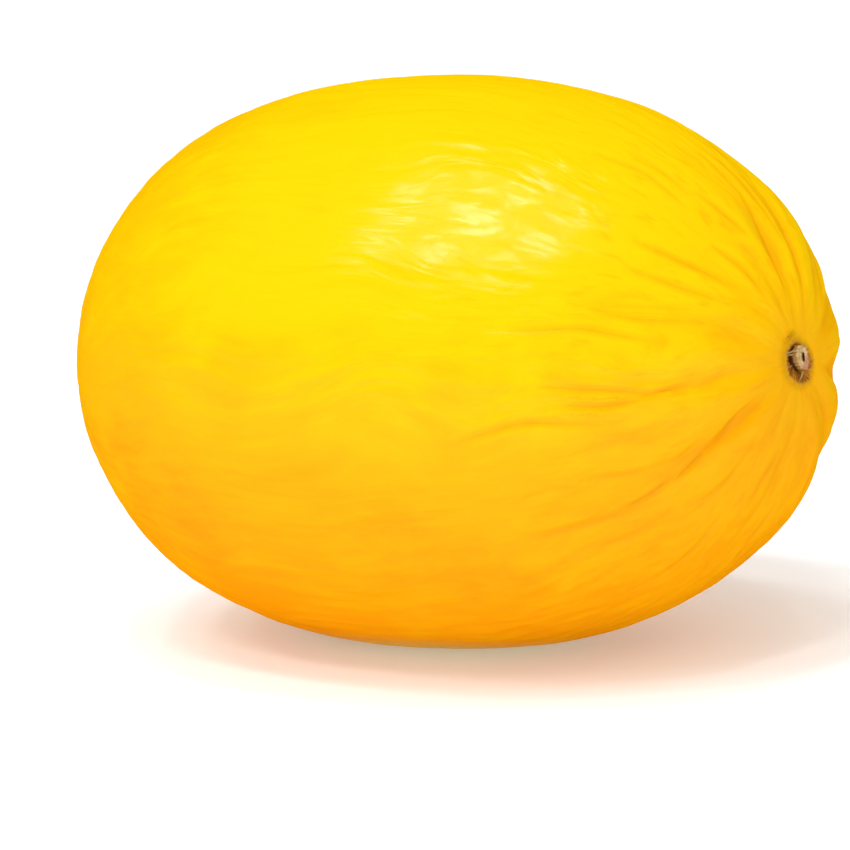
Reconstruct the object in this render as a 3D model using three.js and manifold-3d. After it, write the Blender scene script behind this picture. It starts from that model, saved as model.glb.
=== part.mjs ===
// A whole yellow honeydew melon lying on its side, with the dry stub of its stalk in the scar at the stem end.
// Units are millimetres and degrees, +Z is up. The origin is the centre of the flat spot that the melon rests on,
// and +X points from the blossom end towards the stem end.
import * as THREE from "three";
import { mergeVertices } from "three/addons/utils/BufferGeometryUtils.js";
import Module from "manifold-3d";

const wasm = await Module();
wasm.setup();

// The fruit's own frame has its long axis along X, with the stem end at +X. A point of the skin is named by its
// polar angle, 0 at the stem end and 180 at the blossom end, and by its longitude round the axis, 0 at +Y and
// 90 at +Z, the top.
const GIRTH_RADIUS = 75;
const STEM_END = { reach: 107, fullness: 2.29 };
const BLOSSOM_END = { reach: 104, fullness: 2.54 };

// How the fruit lies: the stem end a little higher, and a shallow flat spot under the belly.
const LIE_TILT = 3;
const FLAT_SPOT_DEPTH = 1.5;

// Slow swellings of the girth. Each has a number of lobes round the fruit, a height, the longitude of a crest,
// and how it runs from end to end: 0 is strongest at the belly, 1 changes sign there.
const SWELLINGS = [
  { lobes: 1, height: 0.8, crest: -77, swaps: 1, sharpness: 1 },
  { lobes: 2, height: 1.3, crest: -25, swaps: 0, sharpness: 2 },
  { lobes: 2, height: 0.9, crest: -6, swaps: 1, sharpness: 2 },
];

// Ribs and furrows that run out from the stem end: longitude, its drift for each degree of polar angle, height,
// which is negative for a furrow, half-width in degrees of longitude, and the polar angle where it has faded away.
const STEM_FOLDS = [
  { at: 22, drift: -0.1, height: -1.4, width: 8, fades: 58 },
  { at: 37, drift: 0.1, height: -1.0, width: 6.5, fades: 54 },
  { at: 64, drift: 0.1, height: -1.1, width: 6.5, fades: 60 },
  { at: 84, drift: 0.1, height: -1.4, width: 7, fades: 62 },
  { at: 106, drift: 0.05, height: -0.8, width: 6.5, fades: 58 },
  { at: 128, drift: 0, height: -0.7, width: 7.5, fades: 52 },
  { at: 155, drift: 0, height: -0.8, width: 8, fades: 50 },
  { at: 176, drift: 0.1, height: -0.9, width: 6.5, fades: 56 },
  { at: 201, drift: 0.2, height: -1.5, width: 6, fades: 70 },
  { at: 232, drift: 0, height: -0.8, width: 8, fades: 56 },
  { at: 258, drift: 0, height: -0.8, width: 7.5, fades: 60 },
  { at: 285, drift: 0.05, height: 1.1, width: 8, fades: 58 },
  { at: 312, drift: 0, height: -1.4, width: 7, fades: 55 },
  { at: 344, drift: 0, height: -2.4, width: 8.5, fades: 52 },
];
const FOLDS_START = 5;

// Weaker folds at the blossom end, evenly spread.
const BLOSSOM_FOLDS = { count: 11, height: 0.35, reaches: 42 };

// The stem end sinks into a wide shallow dish, with the cup of the stalk scar at its centre. The cup is wider
// from side to side than its upright radii by the given share.
const DISH = { radius: 13, depth: 2.8 };
const CUP = { floorRadius: 4, rimRadius: 5, depth: 2, sideways: 0.25 };
// The blossom end has a small shallow pit.
const BLOSSOM_PIT = { radius: 3.5, depth: 0.8 };

const LONGITUDES = 96;
const BODY_ROWS = 34;
const POLE_ROW_RADII = [2, 4, 4.4, 4.8, 5.2, 5.6, 6.2, 7.5];
const BLOSSOM_ROW_RADII = [1.5, 3.2, 5];
const ROW_CROWDING = 0.09;

// The stalk's broken stub: a short hollow woody tube with fluted sides, an oval taller than it is wide. The oval
// is turned a little, its top towards longitude 180. It stands a little above the cup's centre and leans upwards,
// so that its mouth is higher than its foot.
const STUB = { radius: 2.7, height: 3.5, boreRadius: 0.8, boreDepth: 1.8, rimChamfer: 0.4 };
const STUB_STANCE = { uprightStretch: 1.25, turned: 14, raised: 0.2, lean: 0.6 };
const STUB_FLUTES = { count: 7, depth: 0.4 };
const STUB_SIDES = 56;
const SEATING_GAP = 0.4;

const RIND_COLOUR = "#f5c211";
const STUB_COLOUR = "#c09a6b";

const radians = THREE.MathUtils.degToRad;

/** Rises smoothly from 0 to 1 as value goes from start to end. */
function ease(value, start, end) {
  return THREE.MathUtils.smoothstep(value, start, end);
}

/** The difference between two longitudes, from -180 to 180 degrees. */
function longitudeGap(a, b) {
  return THREE.MathUtils.euclideanModulo(a - b + 180, 360) - 180;
}

/** The smooth body without folds: a point on a full-ended oval of revolution, gently swollen. */
function bodyPoint(polar, longitude) {
  const along = Math.cos(radians(polar));
  const around = Math.sin(radians(polar));
  const end = along > 0 ? STEM_END : BLOSSOM_END;
  const x = end.reach * Math.sign(along) * Math.abs(along) ** (2 / end.fullness);
  let radius = GIRTH_RADIUS * around;
  for (const s of SWELLINGS) {
    const lobe = Math.cos(radians(s.lobes * (longitude - s.crest)));
    radius += s.height * lobe * around ** s.sharpness * along ** s.swaps;
  }
  return new THREE.Vector3(x, radius * Math.cos(radians(longitude)), radius * Math.sin(radians(longitude)));
}

/** How far the skin stands in or out of the smooth body along its normal. */
function relief(polar, longitude) {
  const fromAxis = GIRTH_RADIUS * Math.sin(radians(polar));
  let height = 0;
  if (polar < 90) {
    for (const fold of STEM_FOLDS) {
      const across = longitudeGap(longitude, fold.at + fold.drift * polar) / fold.width;
      const fading = 1 - ease(polar, fold.fades / 3, fold.fades);
      height += fold.height * ease(polar, FOLDS_START, 4 * FOLDS_START) * fading * Math.exp(-across * across);
    }
    height -= DISH.depth * Math.exp(-((fromAxis / DISH.radius) ** 2));
    const fromCupAxis = fromAxis / (1 + CUP.sideways * Math.cos(radians(longitude)) ** 2);
    height -= CUP.depth * (1 - ease(fromCupAxis, CUP.floorRadius, CUP.rimRadius));
  } else {
    const fromEnd = 180 - polar;
    const fading = 1 - ease(fromEnd, 0, BLOSSOM_FOLDS.reaches);
    const wave = Math.cos(radians(BLOSSOM_FOLDS.count * longitude));
    height += BLOSSOM_FOLDS.height * ease(fromEnd, FOLDS_START, 4 * FOLDS_START) * fading * wave;
    height -= BLOSSOM_PIT.depth * Math.exp(-((fromAxis / BLOSSOM_PIT.radius) ** 2));
  }
  return height;
}

/** A point of the finished skin. */
function skinPoint(polar, longitude) {
  const step = 0.05;
  const inside = THREE.MathUtils.clamp(polar, step, 180 - step);
  const south = bodyPoint(inside + step, longitude).sub(bodyPoint(inside - step, longitude));
  const east = bodyPoint(inside, longitude + step).sub(bodyPoint(inside, longitude - step));
  const normal = south.cross(east).normalize();
  return bodyPoint(polar, longitude).addScaledVector(normal, relief(polar, longitude));
}

/** The polar angles of the rows of vertices, close together round the stalk scar. */
function rowAngles() {
  const polarAt = (radius) => THREE.MathUtils.radToDeg(Math.asin(radius / GIRTH_RADIUS));
  const stemRows = POLE_ROW_RADII.map(polarAt);
  const blossomRows = BLOSSOM_ROW_RADII.map((radius) => 180 - polarAt(radius)).reverse();
  const first = stemRows.at(-1);
  const last = blossomRows[0];
  const bodyRows = [];
  for (let i = 1; i < BODY_ROWS; i++) {
    const share = i / BODY_ROWS;
    const eased = share - ROW_CROWDING * Math.sin(2 * Math.PI * share);
    bodyRows.push(first + (last - first) * eased);
  }
  return [...stemRows, ...bodyRows, ...blossomRows];
}

/** The closed skin as a grid of rows with a single vertex at each end. */
function skinGeometry() {
  const rows = rowAngles();
  const points = [skinPoint(0, 0)];
  for (const polar of rows) {
    for (let i = 0; i < LONGITUDES; i++) points.push(skinPoint(polar, (360 * i) / LONGITUDES));
  }
  points.push(skinPoint(180, 0));
  const blossomTip = points.length - 1;
  const at = (row, i) => 1 + row * LONGITUDES + (i % LONGITUDES);
  const index = [];
  for (let i = 0; i < LONGITUDES; i++) {
    index.push(0, at(0, i), at(0, i + 1));
    for (let row = 0; row < rows.length - 1; row++) {
      index.push(at(row, i), at(row + 1, i), at(row + 1, i + 1));
      index.push(at(row, i), at(row + 1, i + 1), at(row, i + 1));
    }
    index.push(at(rows.length - 1, i), blossomTip, at(rows.length - 1, i + 1));
  }
  const geometry = new THREE.BufferGeometry().setFromPoints(points);
  geometry.setIndex(index);
  return geometry;
}

/** A closed geometry as a solid. */
function solidFrom(geometry) {
  const bare = new THREE.BufferGeometry().setAttribute("position", geometry.getAttribute("position"));
  if (geometry.index) bare.setIndex(geometry.index);
  const merged = mergeVertices(bare);
  return new wasm.Manifold(new wasm.Mesh({
    numProp: 3,
    vertProperties: merged.attributes.position.array,
    triVerts: new Uint32Array(merged.index.array),
  }));
}

/** A solid as a geometry. */
function geometryFrom(solid) {
  const mesh = solid.getMesh();
  const geometry = new THREE.BufferGeometry();
  geometry.setAttribute("position", new THREE.BufferAttribute(mesh.vertProperties, 3));
  geometry.setIndex(new THREE.BufferAttribute(mesh.triVerts, 1));
  geometry.computeVertexNormals();
  return geometry;
}

/** The melon turned to lie as it rests, its flat spot cut, and the centre of that spot at the origin. */
function fruitMesh(lying) {
  const skin = skinGeometry().applyMatrix4(lying);
  skin.computeBoundingBox();
  const floor = skin.boundingBox.min.z + FLAT_SPOT_DEPTH;
  const slab = new THREE.BoxGeometry(4 * STEM_END.reach, 4 * GIRTH_RADIUS, 2 * GIRTH_RADIUS);
  slab.translate(0, 0, floor - GIRTH_RADIUS);
  const solid = solidFrom(skin).subtract(solidFrom(slab));
  const mesh = new THREE.Mesh(
    geometryFrom(solid),
    new THREE.MeshStandardMaterial({ color: RIND_COLOUR, roughness: 0.42, metalness: 0 }),
  );
  mesh.name = "melon_fruit";
  return { mesh, floor };
}

/** The centre of the faces that lie on the floor. */
function restingCentre(geometry, floor) {
  const spot = new THREE.Box3();
  const position = geometry.getAttribute("position");
  const vertex = new THREE.Vector3();
  for (let i = 0; i < position.count; i++) {
    vertex.fromBufferAttribute(position, i);
    if (Math.abs(vertex.z - floor) < 1e-3) spot.expandByPoint(vertex);
  }
  return spot.getCenter(new THREE.Vector3());
}

/** The stub: a lathe-turned hollow tube, fluted, stretched, turned and leaning along Z, its foot at the origin. */
function stubMesh() {
  const { radius, height, boreRadius, boreDepth, rimChamfer } = STUB;
  const profile = [
    [0, 0], [radius * 0.9, 0], [radius, height * 0.12], [radius * 0.88, height * 0.45],
    [radius * 0.94, height - rimChamfer], [radius * 0.94 - rimChamfer, height],
    [boreRadius + rimChamfer, height], [boreRadius, height - rimChamfer],
    [boreRadius * 0.9, height - boreDepth], [0, height - boreDepth * 1.15],
  ];
  const geometry = new THREE.LatheGeometry(profile.map(([r, z]) => new THREE.Vector2(r, z)), STUB_SIDES);
  const position = geometry.getAttribute("position");
  const turned = radians(STUB_STANCE.turned);
  for (let i = 0; i < position.count; i++) {
    const x = position.getX(i);
    const y = position.getY(i);
    const z = position.getZ(i);
    const fromAxis = Math.hypot(x, z);
    const flute = 0.5 + 0.5 * Math.cos(STUB_FLUTES.count * Math.atan2(z, x));
    const depth = STUB_FLUTES.depth * ease(fromAxis, boreRadius + rimChamfer, radius) * flute;
    const scale = fromAxis > 0 ? (fromAxis - depth) / fromAxis : 1;
    const across = x * scale;
    const upright = z * scale * STUB_STANCE.uprightStretch;
    const sideways = across * Math.cos(turned) + upright * Math.sin(turned);
    const raised = upright * Math.cos(turned) - across * Math.sin(turned);
    position.setXYZ(i, sideways, y, raised + (STUB_STANCE.lean * y) / height);
  }
  const mesh = new THREE.Mesh(
    geometryFrom(solidFrom(geometry)),
    new THREE.MeshStandardMaterial({ color: STUB_COLOUR, roughness: 0.85, metalness: 0 }),
  );
  mesh.name = "stem_stub";
  return mesh;
}

const tilt = new THREE.Matrix4().makeRotationY(-radians(LIE_TILT));
const { mesh: fruit, floor } = fruitMesh(tilt);

// The stub stands just clear of the cup's floor, and its height runs along the fruit's axis.
const stub = stubMesh();
stub.position.set(0, SEATING_GAP, STUB_STANCE.raised);
const stubSeat = new THREE.Group();
stubSeat.position.copy(skinPoint(0, 0).applyMatrix4(tilt));
stubSeat.rotation.set(0, -radians(LIE_TILT), -Math.PI / 2, "YZX");
stubSeat.add(stub);

const melon = new THREE.Group();
melon.add(fruit, stubSeat);

const resting = restingCentre(fruit.geometry, floor);
melon.position.set(-resting.x, -resting.y, -floor);

export default melon;
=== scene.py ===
"""A whole yellow honeydew melon lying on a pale studio floor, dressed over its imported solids.

The fruit's own frame has its long axis along X, with the stem end at +X. A point of the skin is named by its
polar angle, 0 at the stem end and 180 at the blossom end, and by its longitude round the axis, 0 at +Y and 90
at the top.
Sizes whose names end in mm are millimetres, angles are degrees, and everything in the scene is metres.
"""

import logging
import math
from dataclasses import dataclass, field
from enum import Enum

import bpy
import numpy as np
from mathutils import Matrix, Vector

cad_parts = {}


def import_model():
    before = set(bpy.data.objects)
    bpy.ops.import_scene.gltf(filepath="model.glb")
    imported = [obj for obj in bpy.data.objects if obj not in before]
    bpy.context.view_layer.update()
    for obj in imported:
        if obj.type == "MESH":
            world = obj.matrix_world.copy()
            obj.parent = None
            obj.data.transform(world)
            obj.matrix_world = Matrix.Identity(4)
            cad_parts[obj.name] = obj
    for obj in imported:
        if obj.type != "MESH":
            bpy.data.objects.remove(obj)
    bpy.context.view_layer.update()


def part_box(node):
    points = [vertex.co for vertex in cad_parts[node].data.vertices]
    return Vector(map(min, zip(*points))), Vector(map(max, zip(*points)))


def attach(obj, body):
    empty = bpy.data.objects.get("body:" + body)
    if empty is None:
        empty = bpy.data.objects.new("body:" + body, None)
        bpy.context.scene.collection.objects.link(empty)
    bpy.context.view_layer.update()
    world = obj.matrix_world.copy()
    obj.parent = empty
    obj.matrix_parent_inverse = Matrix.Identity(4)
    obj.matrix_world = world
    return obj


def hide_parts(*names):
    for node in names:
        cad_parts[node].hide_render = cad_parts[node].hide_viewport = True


log = logging.getLogger("melon")

MM = 0.001

# The Mix node's sockets for a colour: the share and both colours, and then the result.
COLOUR_MIX_SLOTS = (0, 6, 7)
COLOUR_MIX_RESULT = 2

Socket = bpy.types.NodeSocket
Colour = tuple[float, float, float]
Place = tuple[float, float, float]


def ease(value: np.ndarray, start: float, end: float) -> np.ndarray:
    """Rises smoothly from 0 to 1 as value goes from start to end."""
    share = np.clip((value - start) / (end - start), 0.0, 1.0)
    return share * share * (3.0 - 2.0 * share)


def longitude_gap(a: np.ndarray, b: np.ndarray | float) -> np.ndarray:
    """The difference between two longitudes, from -180 to 180 degrees."""
    return (a - b + 180.0) % 360.0 - 180.0


def rolled(radius: np.ndarray | float, turn: np.ndarray, along: np.ndarray) -> np.ndarray:
    """Points of a tube, one to a row: radius, angle round the tube in radians and place along it."""
    return np.stack([radius * np.cos(turn), radius * np.sin(turn), along], axis=1)


class GradientNoise:
    """Smooth seeded noise over points in space, from about -1 to 1."""

    def __init__(self, seed: int) -> None:
        """Shuffles the lattice and draws its gradients from the seed."""
        draw = np.random.RandomState(seed)
        self._order = draw.permutation(256)
        gradients = draw.normal(size=(256, 3))
        self._gradients = gradients / np.linalg.norm(gradients, axis=1, keepdims=True)

    def at(self, points: np.ndarray) -> np.ndarray:
        """Reads the noise.

        Args:
            points: an array of points, one to a row.

        Returns:
            One value for each point.
        """
        cell = np.floor(points).astype(int)
        offset = points - cell
        fade = offset**3 * (offset * (offset * 6.0 - 15.0) + 10.0)
        total = np.zeros(len(points))
        for corner in np.ndindex(2, 2, 2):
            lattice = (cell + corner) & 255
            key = self._order[lattice[:, 0]]
            key = self._order[(key + lattice[:, 1]) & 255]
            key = self._order[(key + lattice[:, 2]) & 255]
            weight = np.prod(np.where(corner, fade, 1.0 - fade), axis=1)
            total += weight * np.sum((offset - corner) * self._gradients[key], axis=1)
        return total * 1.7


@dataclass(frozen=True)
class Swelling:
    """A slow swelling of the girth: its lobes round the fruit, height, crest and run from end to end."""

    lobes: int
    height_mm: float
    crest: float
    swaps: int
    sharpness: int


@dataclass(frozen=True)
class Fold:
    """A broad rib or furrow that runs out from the stem end, a furrow where its height is negative."""

    at: float
    drift: float
    height_mm: float
    width: float
    fades: float


@dataclass(frozen=True)
class Crease:
    """A narrow groove in the skin: its path as polar angles with longitudes, its depth and its half-width."""

    path: tuple[tuple[float, float], ...]
    depth_mm: float
    width_mm: float


@dataclass(frozen=True)
class FruitForm:
    """The fruit's outer form, as its solid has it: a full-ended oval with soft ribs at the stem end."""

    girth_radius_mm: float = 75.0
    stem_reach_mm: float = 107.0
    stem_fullness: float = 2.29
    blossom_reach_mm: float = 104.0
    blossom_fullness: float = 2.54
    lie_tilt: float = 3.0
    folds_start: float = 5.0
    blossom_folds: int = 11
    blossom_fold_mm: float = 0.35
    blossom_folds_reach: float = 42.0
    dish_radius_mm: float = 13.0
    dish_depth_mm: float = 2.8
    cup_floor_mm: float = 4.0
    cup_rim_mm: float = 5.0
    cup_depth_mm: float = 2.0
    cup_sideways: float = 0.25
    blossom_pit_mm: float = 3.5
    blossom_pit_depth_mm: float = 0.8
    swellings: tuple[Swelling, ...] = (
        Swelling(1, 0.8, -77, 1, 1),
        Swelling(2, 1.3, -25, 0, 2),
        Swelling(2, 0.9, -6, 1, 2),
    )
    folds: tuple[Fold, ...] = (
        Fold(22, -0.1, -1.4, 8, 58),
        Fold(37, 0.1, -1.0, 6.5, 54),
        Fold(64, 0.1, -1.1, 6.5, 60),
        Fold(84, 0.1, -1.4, 7, 62),
        Fold(106, 0.05, -0.8, 6.5, 58),
        Fold(128, 0, -0.7, 7.5, 52),
        Fold(155, 0, -0.8, 8, 50),
        Fold(176, 0.1, -0.9, 6.5, 56),
        Fold(201, 0.2, -1.5, 6, 70),
        Fold(232, 0, -0.8, 8, 56),
        Fold(258, 0, -0.8, 7.5, 60),
        Fold(285, 0.05, 1.1, 8, 58),
        Fold(312, 0, -1.4, 7, 55),
        Fold(344, 0, -2.4, 8.5, 52),
    )

    def from_axis_mm(self, polar: np.ndarray) -> np.ndarray:
        """The distance from the long axis at each polar angle, before any swelling."""
        return self.girth_radius_mm * np.sin(np.radians(polar))

    def from_cup_axis_mm(self, polar: np.ndarray, longitude: np.ndarray) -> np.ndarray:
        """The distance from the long axis, less to the sides, where the cup of the scar is wider."""
        return self.from_axis_mm(polar) / (1.0 + self.cup_sideways * np.cos(np.radians(longitude)) ** 2)

    def body(self, polar: np.ndarray, longitude: np.ndarray) -> np.ndarray:
        """The smooth body without folds.

        Args:
            polar: polar angles.
            longitude: longitudes, one for each polar angle.

        Returns:
            Points in millimetres, one to a row.
        """
        along = np.cos(np.radians(polar))
        around = np.sin(np.radians(polar))
        reach = np.where(along > 0, self.stem_reach_mm, self.blossom_reach_mm)
        fullness = np.where(along > 0, self.stem_fullness, self.blossom_fullness)
        x = reach * np.sign(along) * np.abs(along) ** (2.0 / fullness)
        radius = self.girth_radius_mm * around
        for s in self.swellings:
            lobe = np.cos(np.radians(s.lobes * (longitude - s.crest)))
            radius = radius + s.height_mm * lobe * around**s.sharpness * along**s.swaps
        turn = np.radians(longitude)
        return np.roll(rolled(radius, turn, x), 1, axis=1)

    def normals(self, polar: np.ndarray, longitude: np.ndarray) -> np.ndarray:
        """Outward unit normals of the smooth body, one for each point."""
        step = 0.05
        inside = np.clip(polar, step, 180.0 - step)
        south = self.body(inside + step, longitude) - self.body(inside - step, longitude)
        east = self.body(inside, longitude + step) - self.body(inside, longitude - step)
        normal = np.cross(south, east)
        return normal / np.linalg.norm(normal, axis=1, keepdims=True)

    def _fold_rise(self, from_end: np.ndarray) -> np.ndarray:
        """How far the folds have risen at a polar angle from their end, from 0 to 1."""
        return ease(from_end, self.folds_start, 4 * self.folds_start)

    def stem_folds_mm(self, polar: np.ndarray, longitude: np.ndarray) -> np.ndarray:
        """Height of the broad ribs and furrows at the stem end."""
        height = np.zeros(len(polar))
        rise = self._fold_rise(polar)
        for fold in self.folds:
            across = longitude_gap(longitude, fold.at + fold.drift * polar) / fold.width
            fading = 1 - ease(polar, fold.fades / 3, fold.fades)
            height += fold.height_mm * rise * fading * np.exp(-(across**2))
        return height

    def ends_mm(self, polar: np.ndarray, longitude: np.ndarray) -> np.ndarray:
        """Height of the dish and cup at the stem end, and of the folds and pit at the blossom end."""
        from_axis = self.from_axis_mm(polar)
        stem = -self.dish_depth_mm * np.exp(-((from_axis / self.dish_radius_mm) ** 2))
        from_cup_axis = self.from_cup_axis_mm(polar, longitude)
        stem -= self.cup_depth_mm * (1 - ease(from_cup_axis, self.cup_floor_mm, self.cup_rim_mm))
        from_end = 180.0 - polar
        rise = self._fold_rise(from_end) * (1 - ease(from_end, 0, self.blossom_folds_reach))
        blossom = self.blossom_fold_mm * rise * np.cos(np.radians(self.blossom_folds * longitude))
        blossom -= self.blossom_pit_depth_mm * np.exp(-((from_axis / self.blossom_pit_mm) ** 2))
        return np.where(polar < 90.0, stem, blossom)


@dataclass(frozen=True)
class Ring:
    """One ring of a ring grid: its place along the grid and its number of points."""

    place: float
    count: int


class RingGrid:
    """A closed grid of rings between two single end points, whose count may double or halve between rings."""

    def __init__(self, start: float, rings: list[Ring], end: float) -> None:
        """Numbers the points, the start point first and the end point last."""
        self.rings = rings
        self.places = np.concatenate([[start], *(np.full(r.count, r.place) for r in rings), [end]])
        self.turns = np.concatenate([[0.0], *(np.arange(r.count) * 360.0 / r.count for r in rings), [0.0]])

    def faces(self) -> list[tuple[int, ...]]:
        """Joins the rings.

        Returns:
            Faces as tuples of point numbers, quads between equal rings and triangles elsewhere.
        """
        faces: list[tuple[int, ...]] = []
        starts = np.concatenate([[1], 1 + np.cumsum([r.count for r in self.rings])]).tolist()
        first, last = self.rings[0].count, self.rings[-1].count
        faces += [(0, 1 + i, 1 + (i + 1) % first) for i in range(first)]
        for row in range(len(self.rings) - 1):
            near, far = self.rings[row].count, self.rings[row + 1].count
            a, b = starts[row], starts[row + 1]
            if near == far:
                faces += [(a + i, b + i, b + (i + 1) % far, a + (i + 1) % near) for i in range(near)]
            elif far == 2 * near:
                for i in range(near):
                    faces.append((a + i, b + 2 * i, b + 2 * i + 1))
                    faces.append((a + i, b + 2 * i + 1, a + (i + 1) % near))
                    faces.append((a + (i + 1) % near, b + 2 * i + 1, b + (2 * i + 2) % far))
            else:
                for i in range(far):
                    faces.append((a + 2 * i, b + i, a + 2 * i + 1))
                    faces.append((a + 2 * i + 1, b + i, b + (i + 1) % far))
                    faces.append((a + 2 * i + 1, b + (i + 1) % far, a + (2 * i + 2) % near))
        tip, base = len(self.places) - 1, starts[-2]
        faces += [(base + i, tip, base + (i + 1) % last) for i in range(last)]
        return faces


def mesh_object(name: str, points: np.ndarray, faces: list[tuple[int, ...]]) -> bpy.types.Object:
    """Makes a smooth-shaded mesh object whose faces look outwards.

    Args:
        name: the piece's name.
        points: points in metres, one to a row.
        faces: faces as tuples of point numbers.

    Returns:
        The object, linked into the scene.
    """
    mesh = bpy.data.meshes.new(name)
    mesh.from_pydata(points.tolist(), [], faces)
    mesh.validate()
    mesh.shade_smooth()
    piece = bpy.data.objects.new(name, mesh)
    bpy.context.scene.collection.objects.link(piece)
    return piece


def give_values(piece: bpy.types.Object, **named: np.ndarray) -> None:
    """Stores named numbers or vectors at the points of a piece, for its material to read."""
    for name, values in named.items():
        kind, key = ("FLOAT", "value") if values.ndim == 1 else ("FLOAT_VECTOR", "vector")
        attribute = piece.data.attributes.new(name, kind, "POINT")
        attribute.data.foreach_set(key, values.astype(np.float32).ravel())


class Sum(Enum):
    """What a material works out from two numbers."""

    ADD = "ADD"
    SUBTRACT = "SUBTRACT"
    MULTIPLY = "MULTIPLY"
    ABSOLUTE = "ABSOLUTE"
    MAXIMUM = "MAXIMUM"


class FinishTree:
    """The node tree of one finish, with short ways to add the nodes that it is made of."""

    def __init__(self, name: str) -> None:
        """Makes an empty material with a Principled shader."""
        self.material = bpy.data.materials.new(name)
        self.material.use_nodes = True
        self.nodes = self.material.node_tree.nodes
        self.links = self.material.node_tree.links
        self.shader = self.nodes["Principled BSDF"]

    def set(self, **values: float | tuple[float, ...]) -> None:
        """Sets the shader's sockets, each named in words joined by underscores."""
        for name, value in values.items():
            self.shader.inputs[name.replace("_", " ")].default_value = value

    def join(self, source: Socket, name: str) -> None:
        """Links a socket to the shader's input of that name."""
        self.links.new(source, self.shader.inputs[name])

    def number(self, name: str, socket: str = "Fac") -> Socket:
        """The number stored at the piece's points under a name."""
        node = self.nodes.new("ShaderNodeAttribute")
        node.attribute_name = name
        return node.outputs[socket]

    def vector(self, name: str) -> Socket:
        """The vector stored at the piece's points under a name."""
        return self.number(name, "Vector")

    def placed(self, scale: float) -> Socket:
        """The place on the piece in its own metres, times a scale."""
        coordinates = self.nodes.new("ShaderNodeTexCoord")
        return self.scaled(coordinates.outputs["Object"], (scale, scale, scale))

    def scaled(self, vector: Socket, scale: Place) -> Socket:
        """A vector times a scale along each axis."""
        node = self.nodes.new("ShaderNodeVectorMath")
        node.operation = "MULTIPLY"
        self.links.new(vector, node.inputs[0])
        node.inputs[1].default_value = scale
        return node.outputs[0]

    def noise(
        self, vector: Socket, scale: float, detail: float = 3.0, roughness: float = 0.5, twist: float = 0.0
    ) -> Socket:
        """Cloudy noise.

        Args:
            vector: where to read it.
            scale: cells to a unit.
            detail: octaves.
            roughness: how strong the fine octaves are.
            twist: how much the noise distorts itself.

        Returns:
            The value, about 0.5 on average.
        """
        node = self.nodes.new("ShaderNodeTexNoise")
        self.links.new(vector, node.inputs["Vector"])
        settings = {"Scale": scale, "Detail": detail, "Roughness": roughness, "Distortion": twist}
        for name, value in settings.items():
            node.inputs[name].default_value = value
        return node.outputs["Fac"]

    def drawn_out(self, grain: Socket, share: float) -> Socket:
        """Grain coordinates that run along the fruit at a share of their pace, to draw a noise out or in."""
        return self.scaled(grain, (1.0, 1.0, share))

    def cells(self, vector: Socket, scale: float) -> Socket:
        """Distance from scattered points, for specks and pores."""
        node = self.nodes.new("ShaderNodeTexVoronoi")
        self.links.new(vector, node.inputs["Vector"])
        node.inputs["Scale"].default_value = scale
        return node.outputs["Distance"]

    def span(
        self, value: Socket, low: float, high: float, to_low: float = 0.0, to_high: float = 1.0
    ) -> Socket:
        """Maps low..high smoothly to to_low..to_high and holds it outside."""
        node = self.nodes.new("ShaderNodeMapRange")
        node.interpolation_type = "SMOOTHSTEP"
        self.links.new(value, node.inputs["Value"])
        for name, number in (("From Min", low), ("From Max", high), ("To Min", to_low), ("To Max", to_high)):
            node.inputs[name].default_value = number
        return node.outputs["Result"]

    def feed(self, node: bpy.types.Node, slot: int, value: Socket | float | Colour) -> None:
        """Gives a node's input a number, a colour or another node's output."""
        if isinstance(value, Socket):
            self.links.new(value, node.inputs[slot])
        else:
            node.inputs[slot].default_value = (*value, 1.0) if isinstance(value, tuple) else value

    def math(self, operation: Sum, a: Socket | float, b: Socket | float = 0.0) -> Socket:
        """Works on two numbers or sockets with one of the Math node's operations."""
        node = self.nodes.new("ShaderNodeMath")
        node.operation = operation.value
        self.feed(node, 0, a)
        self.feed(node, 1, b)
        return node.outputs[0]

    def times(self, a: Socket, b: Socket | float) -> Socket:
        """The product of two numbers."""
        return self.math(Sum.MULTIPLY, a, b)

    def stirred(self, value: Socket | float, noise: Socket, swing: float) -> Socket:
        """A value that a noise moves up and down, by half the swing at most."""
        return self.math(Sum.ADD, value, self.times(self.math(Sum.SUBTRACT, noise, 0.5), swing))

    def lay(self, base: Socket | Colour, over: Socket | Colour, share: Socket | float) -> Socket:
        """Lays one colour over another by a share.

        Args:
            base: the colour below.
            over: the colour on top.
            share: how much of the top shows.

        Returns:
            The mixed colour.
        """
        node = self.nodes.new("ShaderNodeMix")
        node.data_type = "RGBA"
        node.clamp_factor = True
        for slot, value in zip(COLOUR_MIX_SLOTS, (share, base, over)):
            self.feed(node, slot, value)
        return node.outputs[COLOUR_MIX_RESULT]

    def coats(self, colour: Socket | Colour, over: list[tuple[Socket | Colour, Socket | float]]) -> Socket:
        """Lays coats over a colour, each a colour with its share, and gives what shows."""
        for coat, share in over:
            colour = self.lay(colour, coat, share)
        return colour

    def bump(self, layers: list[tuple[Socket, float]]) -> None:
        """Stacks bump layers on the normal, each a height from 0 to 1 with its depth in millimetres."""
        below: Socket | None = None
        for height, depth_mm in layers:
            node = self.nodes.new("ShaderNodeBump")
            node.inputs["Strength"].default_value = 1.0
            node.inputs["Distance"].default_value = depth_mm * MM
            self.links.new(height, node.inputs["Height"])
            if below is not None:
                self.links.new(below, node.inputs["Normal"])
            below = node.outputs["Normal"]
        if below is not None:
            self.join(below, "Normal")
            self.join(below, "Coat Normal")


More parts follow.
